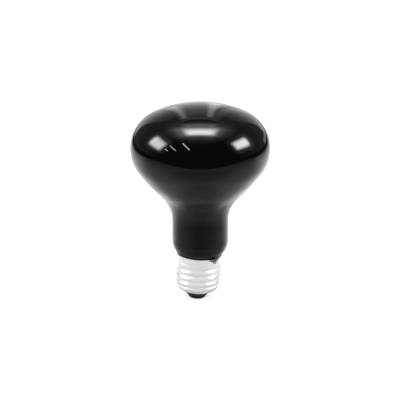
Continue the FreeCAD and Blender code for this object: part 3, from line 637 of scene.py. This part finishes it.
class BULB_OT_glass(bpy.types.Operator):
    """Turn the black glass bulb, from its crown to its exhaust tip"""

    bl_idname = "bulb.glass"
    bl_label = "Black glass bulb"

    def execute(self, context):
        size = context.scene.bulb_glass
        rim = context.scene.bulb_cap.rim_level
        neck = size.neck_diameter / 2.0
        seal = size.seal_diameter / 2.0
        tip = size.tip_diameter / 2.0
        # Centres of the arcs. The shoulder's circle touches the flank's from within, the fillet's
        # from outside, so the flank's centre is as far from theirs as the radii say
        crown = (0.0, size.crown_top - size.crown_radius)
        shoulder = (size.diameter / 2.0 - size.shoulder_radius, rim + size.widest_rise)
        fillet = (neck + size.fillet_radius, rim + size.fillet_rise)
        to_shoulder = size.flank_radius - size.shoulder_radius
        to_fillet = size.flank_radius + size.fillet_radius
        flank = crossing(shoulder, to_shoulder, fillet, to_fillet)
        end = (neck - size.neck_end_radius, rim + size.neck_end_rise)
        seal_top = end[1] - math.sqrt(size.neck_end_radius ** 2 - (seal - end[0]) ** 2)
        seal_foot = rim - size.seal_depth
        corner = (seal - size.seal_corner, seal_foot + size.seal_corner)
        tip_end = seal_foot - size.tip_length
        turner = Turner("black_glass_bulb", 0.0, size.crown_top)
        turner.arc(crown, *between(crown, shoulder, size.crown_radius), steps=26)
        turner.arc(shoulder, *between(flank, shoulder, size.flank_radius), steps=84)
        turner.arc(flank, *between(flank, fillet, size.flank_radius), steps=26)
        turner.arc(fillet, neck, fillet[1], steps=38)
        turner.line(neck, end[1], steps=6)
        turner.arc(end, seal, seal_top, steps=30)
        turner.line(seal, corner[1], steps=3)
        turner.arc(corner, corner[0], seal_foot, steps=6)
        turner.line(tip, seal_foot, steps=3)
        turner.line(tip, tip_end + tip, steps=2)
        turner.arc((0.0, tip_end + tip), 0.0, tip_end, steps=6)
        bulb = turner.close(size.segments)
        take(bulb)
        bpy.ops.object.shade_smooth_by_angle(angle=math.radians(40.0))
        finish_piece(bulb, black_glass())
        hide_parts("glass_bulb")
        return {"FINISHED"}


class BULB_OT_cap_finish(bpy.types.Operator):
    """Give the CAD cap, its insulator, contact, leads and cement their finishes"""

    bl_idname = "bulb.cap_finish"
    bl_label = "Cap finishes"

    def execute(self, context):
        wire = lead_wire()
        looks = {
            "screw_shell": cap_metal(),
            "insulator": foot_glass(),
            "centre_contact": shade_darkened_brass(),
            "centre_solder": grey_solder(),
            "centre_lead": wire,
            "side_lead": wire,
            "basing_cement": basing_cement(),
        }
        for node, look in looks.items():
            coat(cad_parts[node], look)
        return {"FINISHED"}


class BULB_OT_side_solder(bpy.types.Operator):
    """Melt the ragged solder patch on the rim, with its drips"""

    bl_idname = "bulb.side_solder"
    bl_label = "Side solder"

    # Angle from the front to the right in degrees, then millimetres: depth below the rim,
    # half width, half height and how far it stands proud
    lumps = (
        (40.0, 0.25, 3.1, 0.55, 0.42),
        (44.0, 1.05, 2.0, 0.75, 0.45),
        (47.5, 2.15, 0.5, 0.95, 0.36),
        (41.0, 1.95, 0.42, 0.9, 0.34),
        (34.5, 1.3, 0.42, 0.75, 0.32),
        (27.5, 0.55, 0.6, 0.5, 0.3),
        (52.0, 0.6, 0.9, 0.75, 0.36),
    )

    def execute(self, context):
        cap = context.scene.bulb_cap
        patch = self.gather(context, cap)
        patch.name = "solder_patch"
        patch.data.name = "solder_patch"
        self.melt(patch)
        self.trim(patch, cap)
        take(patch)
        patch.rotation_euler = (0.0, cap.lean, 0.0)
        patch.location = (cap.foot_shift, 0.0, cap.foot_rise)
        bpy.ops.object.transform_apply(location=True, rotation=True, scale=True)
        bpy.ops.object.shade_smooth_by_angle(angle=math.radians(50.0))
        finish_piece(patch, bpy.data.materials["grey_solder"])
        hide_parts("side_solder")
        return {"FINISHED"}

    def gather(self, context, cap):
        """Sets the lumps on the skirt and the flare of the upright cap, and joins them"""
        flare = cap.rim_reach - cap.skirt_reach
        foot = cap.height - cap.skirt_height
        patch = None
        clear_selection()
        for right, depth, half_width, half_height, proud in self.lumps:
            turn = math.radians(right - 90.0)
            level = cap.height - depth * MM
            climb = max(0.0, level - foot) / cap.skirt_height
            reach = cap.skirt_reach + flare * climb ** 2
            bpy.ops.mesh.primitive_ico_sphere_add(
                subdivisions=4,
                radius=1.0,
                location=(reach * math.cos(turn), reach * math.sin(turn), level),
                rotation=(0.0, 0.0, turn),
                scale=(proud * MM, half_width * MM, half_height * MM),
            )
            lump = context.object
            bpy.ops.object.transform_apply(location=True, rotation=True, scale=True)
            if patch is None:
                patch = lump
            else:
                take(patch)
                lump.select_set(True)
                bpy.ops.object.join()
            clear_selection()
        return patch

    def melt(self, patch):
        """Runs the lumps together, with a ragged skin"""
        grain = bpy.data.textures.new("solder_grain", "CLOUDS")
        grain.noise_scale = 0.9 * MM
        grain.noise_depth = 2
        apply_modifier(patch, "REMESH", mode="VOXEL", voxel_size=0.1 * MM)
        apply_modifier(
            patch, "DISPLACE", texture=grain, texture_coords="LOCAL", strength=0.35 * MM, mid_level=0.5
        )
        apply_modifier(patch, "SMOOTH", factor=0.5, iterations=2)

    def trim(self, patch, cap):
        """Takes off what would lie inside the skirt and the rim"""
        flare = cap.rim_reach - cap.skirt_reach
        radius = (flare ** 2 + cap.skirt_height ** 2) / (2.0 * flare)
        foot = cap.height - cap.skirt_height
        below = foot - 2.0 * MM
        core = Turner("skirt_core", 0.0, cap.height)
        core.line(cap.rim_reach, cap.height)
        core.arc((cap.skirt_reach + radius, foot), cap.skirt_reach, foot, steps=10)
        core.line(cap.skirt_reach, below)
        core.line(0.0, below)
        tool = core.close(segments=128)
        apply_modifier(patch, "BOOLEAN", operation="DIFFERENCE", solver="EXACT", object=tool)
        bpy.data.objects.remove(tool)


# The stage


class Surround:
    """Flat lit sheets round the bulb, each as its share of the light from a direction"""

    # A direction meets a sheet only if it goes ahead by this share of its length
    least_ahead = 0.06
    # Other directions are divided by this, and then left out
    least_divisor = 0.05

    def __init__(self, way):
        self.way = way

    def patch(self, ahead, across, half_width, half_height, soft):
        """A sheet square to ahead, with its half sizes and soft edge as shares of its distance"""
        depth = self.way.dot(ahead).at_least(self.least_divisor)
        u = abs(self.way.dot(across) / depth)
        v = abs(self.way.dot(ahead.cross(across)) / depth)
        return u.inside(half_width, soft) * v.inside(half_height, soft) * (depth > self.least_ahead)

    def card(self, azimuth, elevation, half_width, half_height, soft, tilt=0.0):
        """A sheet with its middle at an azimuth and an elevation, turned by a tilt"""
        ahead = heading(azimuth, elevation)
        turn = math.radians(azimuth)
        sideways = Vector((math.cos(turn), math.sin(turn), 0.0))
        across = Matrix.Rotation(math.radians(tilt), 3, ahead) @ sideways
        return self.patch(ahead, across, half_width, half_height, soft)

    def tube(self, start, end, half_width, soft):
        """A narrow sheet from one azimuth and elevation to another"""
        first = heading(*start)
        last = heading(*end)
        ahead = (first + last).normalized()
        along = (last - first).normalized()
        half_length = math.tan(first.angle(last) / 2.0)
        return self.patch(ahead, along, half_length, half_width, soft)


class BULB_OT_stage(bpy.types.Operator):
    """Set the white table, the studio round it, the lamps and the camera"""

    bl_idname = "bulb.stage"
    bl_label = "Stage"

    # What the glass mirrors, as the arguments of Surround.card and the level of its light
    cards = (
        # The square lamps at the left and the right, each with a weak glow round it
        (-84.0, 27.8, 0.235, 0.17, 0.09, -8.0, 12.2),
        (-84.0, 29.0, 0.34, 0.3, 0.14, 0.0, 0.5),
        (80.0, 28.5, 0.235, 0.155, 0.09, -4.0, 16.0),
        (82.0, 28.0, 0.36, 0.3, 0.14, 0.0, 0.5),
        # The taller middle sheet of the backdrop, the sheet above it and the one at the corner
        (180.0, 24.0, 0.2, 0.55, 0.03, 0.0, 0.18),
        (180.0, 67.0, 0.2, 0.11, 0.055, 0.0, 0.9),
        (139.0, 0.0, 0.14, 0.08, 0.05, 0.0, 0.6),
    )
    # The same for Surround.tube
    tubes = (
        # Three thin tubes high on the left
        ((-38.0, 47.3), (-19.2, 31.3), 0.013, 0.01, 14.0),
        ((-58.0, 33.7), (-42.6, 24.5), 0.01, 0.008, 14.0),
        ((-62.9, 22.6), (-55.9, 19.8), 0.01, 0.008, 14.0),
        # The bright edges of the backdrop's middle sheet
        ((-167.0, 48.0), (-172.3, 12.0), 0.022, 0.03, 0.85),
        ((172.5, 47.0), (176.7, 6.0), 0.024, 0.02, 0.85),
    )
    # The dark folds beside those edges, with the share of the light that they take
    folds = (
        ((-165.0, 49.0), (-170.0, 4.0), 0.008, 0.014, 0.4),
        ((171.5, 38.0), (172.5, 3.0), 0.008, 0.014, 0.4),
    )
    # Name, azimuth, elevation, distance, width and height in metres, and the setting of its level
    lamp_rows = (
        ("top_lamp", 0.0, 88.0, 1.0, 0.7, 0.43, "top_level"),
        ("left_lamp", -84.0, 28.5, 1.1, 0.54, 0.43, "side_level"),
        ("right_lamp", 82.5, 28.0, 1.1, 0.54, 0.43, "side_level"),
        ("front_lamp", 0.0, 40.0, 1.3, 0.9, 0.6, "front_level"),
    )

    def execute(self, context):
        self.table()
        self.surround(context)
        self.lamps(context)
        self.camera(context)
        return {"FINISHED"}

    def table(self):
        clear_selection()
        bpy.ops.mesh.primitive_plane_add(size=8.0, location=(0.0, 0.0, 0.0))
        table = bpy.context.object
        table.name = "white_table"
        table.data.materials.append(white_table())

    def surround(self, context):
        """White to the camera, a plain fill for the rest, and a dark studio that the glass mirrors"""
        world = bpy.data.worlds.new("studio")
        context.scene.world = world
        world.use_nodes = True
        web = Web(world.node_tree)
        picture = web.background(self.mirrored_studio(web))
        plain = web.background(context.scene.bulb_studio.fill_level)
        lit = web.choose(web.ray("Glossy"), plain, picture)
        seen = web.choose(web.ray("Camera"), lit, web.background(1.0))
        web.node("ShaderNodeOutputWorld", {}, {"Surface": seen})

    def mirrored_studio(self, web):
        """The light of a dark studio with three lamps, thin tubes and a pale backdrop"""
        way = web.node("ShaderNodeTexCoord", {}, {}, "Generated")
        x, y, z = way.parts()
        around = Surround(way)
        level = 0.05 + y.ramp(-0.5, 0.1, 0.0, 0.08) + self.overhead_lamp(web, x, y, z)
        for *place, gain in self.cards:
            level = level + around.card(*place) * gain
        for *place, gain in self.tubes:
            level = level + around.tube(*place) * gain
        # The wide backdrop fades upwards, and a dark rail runs above its middle sheet
        level = level + around.card(180.0, 5.0, 0.62, 0.75, 0.05) * z.ramp(0.08, 0.64, 0.86, 0.1)
        dark = around.card(180.0, 54.5, 0.16, 0.03, 0.02) * 0.65
        for *place, gain in self.folds:
            dark = dark + around.tube(*place) * gain
        return level * (1.0 - dark.at_most(1.0))

    def overhead_lamp(self, web, x, y, z):
        """The lamp overhead, with a softer far edge and a glow that fades beyond it"""
        # Places on a level sheet above the bulb, as shares of its height
        above = z.at_least(0.05)
        overhead = z > 0.1
        aside = abs(x / above)
        back = y / above
        middle = aside.inside(0.27, 0.11) * back.ramp(0.27, -0.05) * back.ramp(-0.31, -0.09)
        beyond = (aside - 0.28).at_least(0.0) * 9.0 + (abs(back + 0.01) - 0.225).at_least(0.0) * 10.0
        glow = 3.0 + x.ramp(0.3, 0.45, 0.0, 0.7) + x.ramp(-0.28, -0.42, 0.0, 2.8)
        glow = web.math("EXPONENT", beyond * -1.0) * glow
        return (middle * 14.0 + glow) * overhead + z.ramp(0.72, 0.86, 0.0, 0.12)

    def lamps(self, context):
        target = Vector((0.0, 0.0, 0.06))
        for name, azimuth, elevation, distance, width, height, setting in self.lamp_rows:
            way = heading(azimuth, elevation)
            bpy.ops.object.light_add(type="AREA", location=target + way * distance)
            lamp = context.object
            lamp.name = name
            lamp.rotation_euler = way.to_track_quat("Z", "Y").to_euler()
            lamp.data.shape = "RECTANGLE"
            lamp.data.size = width
            lamp.data.size_y = height
            # Watts that give the level times pi as irradiance at the bulb
            level = getattr(context.scene.bulb_studio, setting)
            lamp.data.energy = level * math.pi ** 2 * distance ** 2
            lamp.visible_glossy = False

    def camera(self, context):
        studio = context.scene.bulb_studio
        far = studio.camera_distance
        rise = studio.camera_elevation
        place = (0.0, -far * math.cos(rise), studio.aim_height + far * math.sin(rise))
        bpy.ops.object.camera_add(location=place, rotation=(math.pi / 2.0 - rise, 0.0, 0.0))
        camera = context.object
        camera.name = "photo_camera"
        camera.data.sensor_fit = "HORIZONTAL"
        camera.data.sensor_width = 36.0
        camera.data.lens = studio.focal
        camera.data.shift_x = -0.0005
        camera.data.clip_start = 0.01
        camera.data.clip_end = 50.0
        context.scene.camera = camera
        context.scene.view_settings.view_transform = "Standard"


class BULB_PT_panel(bpy.types.Panel):
    """Lists the steps that build the bulb, with their sizes and colours"""

    bl_idname = "BULB_PT_panel"
    bl_label = "Black light bulb"
    bl_space_type = "VIEW_3D"
    bl_region_type = "UI"
    bl_category = "Bulb"

    def draw(self, context):
        for step in STEPS:
            self.layout.operator(step.bl_idname)
        for group in GROUPS:
            box = self.layout.box()
            settings = getattr(context.scene, group)
            for name in settings.bl_rna.properties.keys():
                if name not in ("rna_type", "name"):
                    box.prop(settings, name)


GROUPS = {
    "bulb_glass": BulbGlassSizes,
    "bulb_cap": BulbCapSizes,
    "bulb_finish": BulbFinish,
    "bulb_studio": BulbStudio,
}
STEPS = (BULB_OT_glass, BULB_OT_cap_finish, BULB_OT_side_solder, BULB_OT_stage)


def register():
    for name, group in GROUPS.items():
        bpy.utils.register_class(group)
        setattr(bpy.types.Scene, name, bpy.props.PointerProperty(type=group))
    for step in STEPS:
        bpy.utils.register_class(step)
    bpy.utils.register_class(BULB_PT_panel)


def unregister():
    bpy.utils.unregister_class(BULB_PT_panel)
    for step in reversed(STEPS):
        bpy.utils.unregister_class(step)
    for name, group in reversed(list(GROUPS.items())):
        delattr(bpy.types.Scene, name)
        bpy.utils.unregister_class(group)


def main():
    register()
    bpy.ops.bulb.glass()
    bpy.ops.bulb.cap_finish()
    bpy.ops.bulb.side_solder()
    bpy.ops.bulb.stage()


if __name__ == "__main__":
    main()
